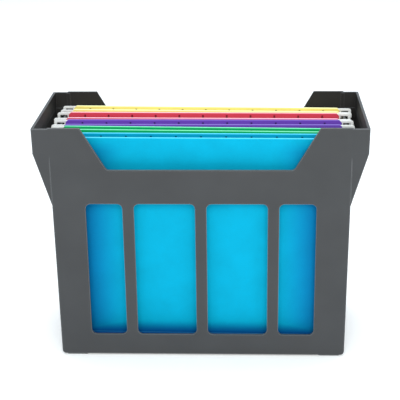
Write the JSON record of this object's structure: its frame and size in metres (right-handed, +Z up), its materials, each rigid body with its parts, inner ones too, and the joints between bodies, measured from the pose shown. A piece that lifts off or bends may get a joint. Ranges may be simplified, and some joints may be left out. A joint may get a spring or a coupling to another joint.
{
  "type": "hanging file rack",
  "caption": "Desktop hanging file rack: tapered charcoal tub with windowed panels, dipped rims and flared hook ears, holding coloured hanging folders on its end rails.",
  "frame": {"origin": "middle of the footprint, at the level that the feet stand on", "axes": "+X along the rack's length, towards its right ear; -Y towards its front; +Z up"},
  "size_m": [0.344, 0.15, 0.258],
  "materials": {
    "rack_plastic": "fine matt moulded texture",
    "hanger_steel": "steel strip with a baked white coat",
    "yellow_card": "matt dyed card",
    "red_card": "matt dyed card",
    "purple_card": "matt dyed card",
    "green_card": "matt dyed card",
    "blue_card": "matt dyed card"
  },
  "bodies": {
    "rack": {"rack_body": "rack_plastic"},
    "yellow_folder": {"yellow_back_panel": "yellow_card", "yellow_back_hanger": "hanger_steel"},
    "yellow_front_half": {"yellow_front_panel": "yellow_card", "yellow_front_hanger": "hanger_steel"},
    "red_folder": {"red_back_panel": "red_card", "red_back_hanger": "hanger_steel"},
    "red_front_half": {"red_front_panel": "red_card", "red_front_hanger": "hanger_steel"},
    "purple_folder": {"purple_back_panel": "purple_card", "purple_back_hanger": "hanger_steel"},
    "purple_front_half": {"purple_front_panel": "purple_card", "purple_front_hanger": "hanger_steel"},
    "green_folder": {"green_back_panel": "green_card", "green_back_hanger": "hanger_steel"},
    "green_front_half": {"green_front_panel": "green_card", "green_front_hanger": "hanger_steel"},
    "blue_folder": {"blue_back_panel": "blue_card", "blue_back_hanger": "hanger_steel"},
    "blue_front_half": {"blue_front_panel": "blue_card", "blue_front_hanger": "hanger_steel"}
  },
  "joints": [
    {"name": "yellow_folder_lift", "type": "slide", "parent": "rack", "child": "yellow_folder", "axis": [0, 0, 1], "range_m": [0, 0.26]},
    {"name": "yellow_folder_open", "type": "hinge", "parent": "yellow_folder", "child": "yellow_front_half", "pos_m": [0.001, 0.0543, 0.006], "axis": [0.9993, -0.0384, 0], "range_deg": [-2.8, 0.54]},
    {"name": "red_folder_lift", "type": "slide", "parent": "rack", "child": "red_folder", "axis": [0, 0, 1], "range_m": [0, 0.26]},
    {"name": "red_folder_open", "type": "hinge", "parent": "red_folder", "child": "red_front_half", "pos_m": [-0.0012, 0.0269, 0.006], "axis": [0.9998, -0.0192, 0], "range_deg": [-4.5, 0.32]},
    {"name": "purple_folder_lift", "type": "slide", "parent": "rack", "child": "purple_folder", "axis": [0, 0, 1], "range_m": [0, 0.26]},
    {"name": "purple_folder_open", "type": "hinge", "parent": "purple_folder", "child": "purple_front_half", "pos_m": [0, 0.0003, 0.006], "axis": [1, -0.0087, 0], "range_deg": [-3.38, 0.83]},
    {"name": "green_folder_lift", "type": "slide", "parent": "rack", "child": "green_folder", "axis": [0, 0, 1], "range_m": [0, 0.26]},
    {"name": "green_folder_open", "type": "hinge", "parent": "green_folder", "child": "green_front_half", "pos_m": [0, -0.0257, 0.006], "axis": [0.9993, -0.0384, 0], "range_deg": [-1.92, 1.22]},
    {"name": "blue_folder_lift", "type": "slide", "parent": "rack", "child": "blue_folder", "axis": [0, 0, 1], "range_m": [0, 0.26]},
    {"name": "blue_folder_open", "type": "hinge", "parent": "blue_folder", "child": "blue_front_half", "pos_m": [0, -0.0506, 0.006], "axis": [0.9998, -0.0209, 0], "range_deg": [-2.95, 1.46]}
  ]
}
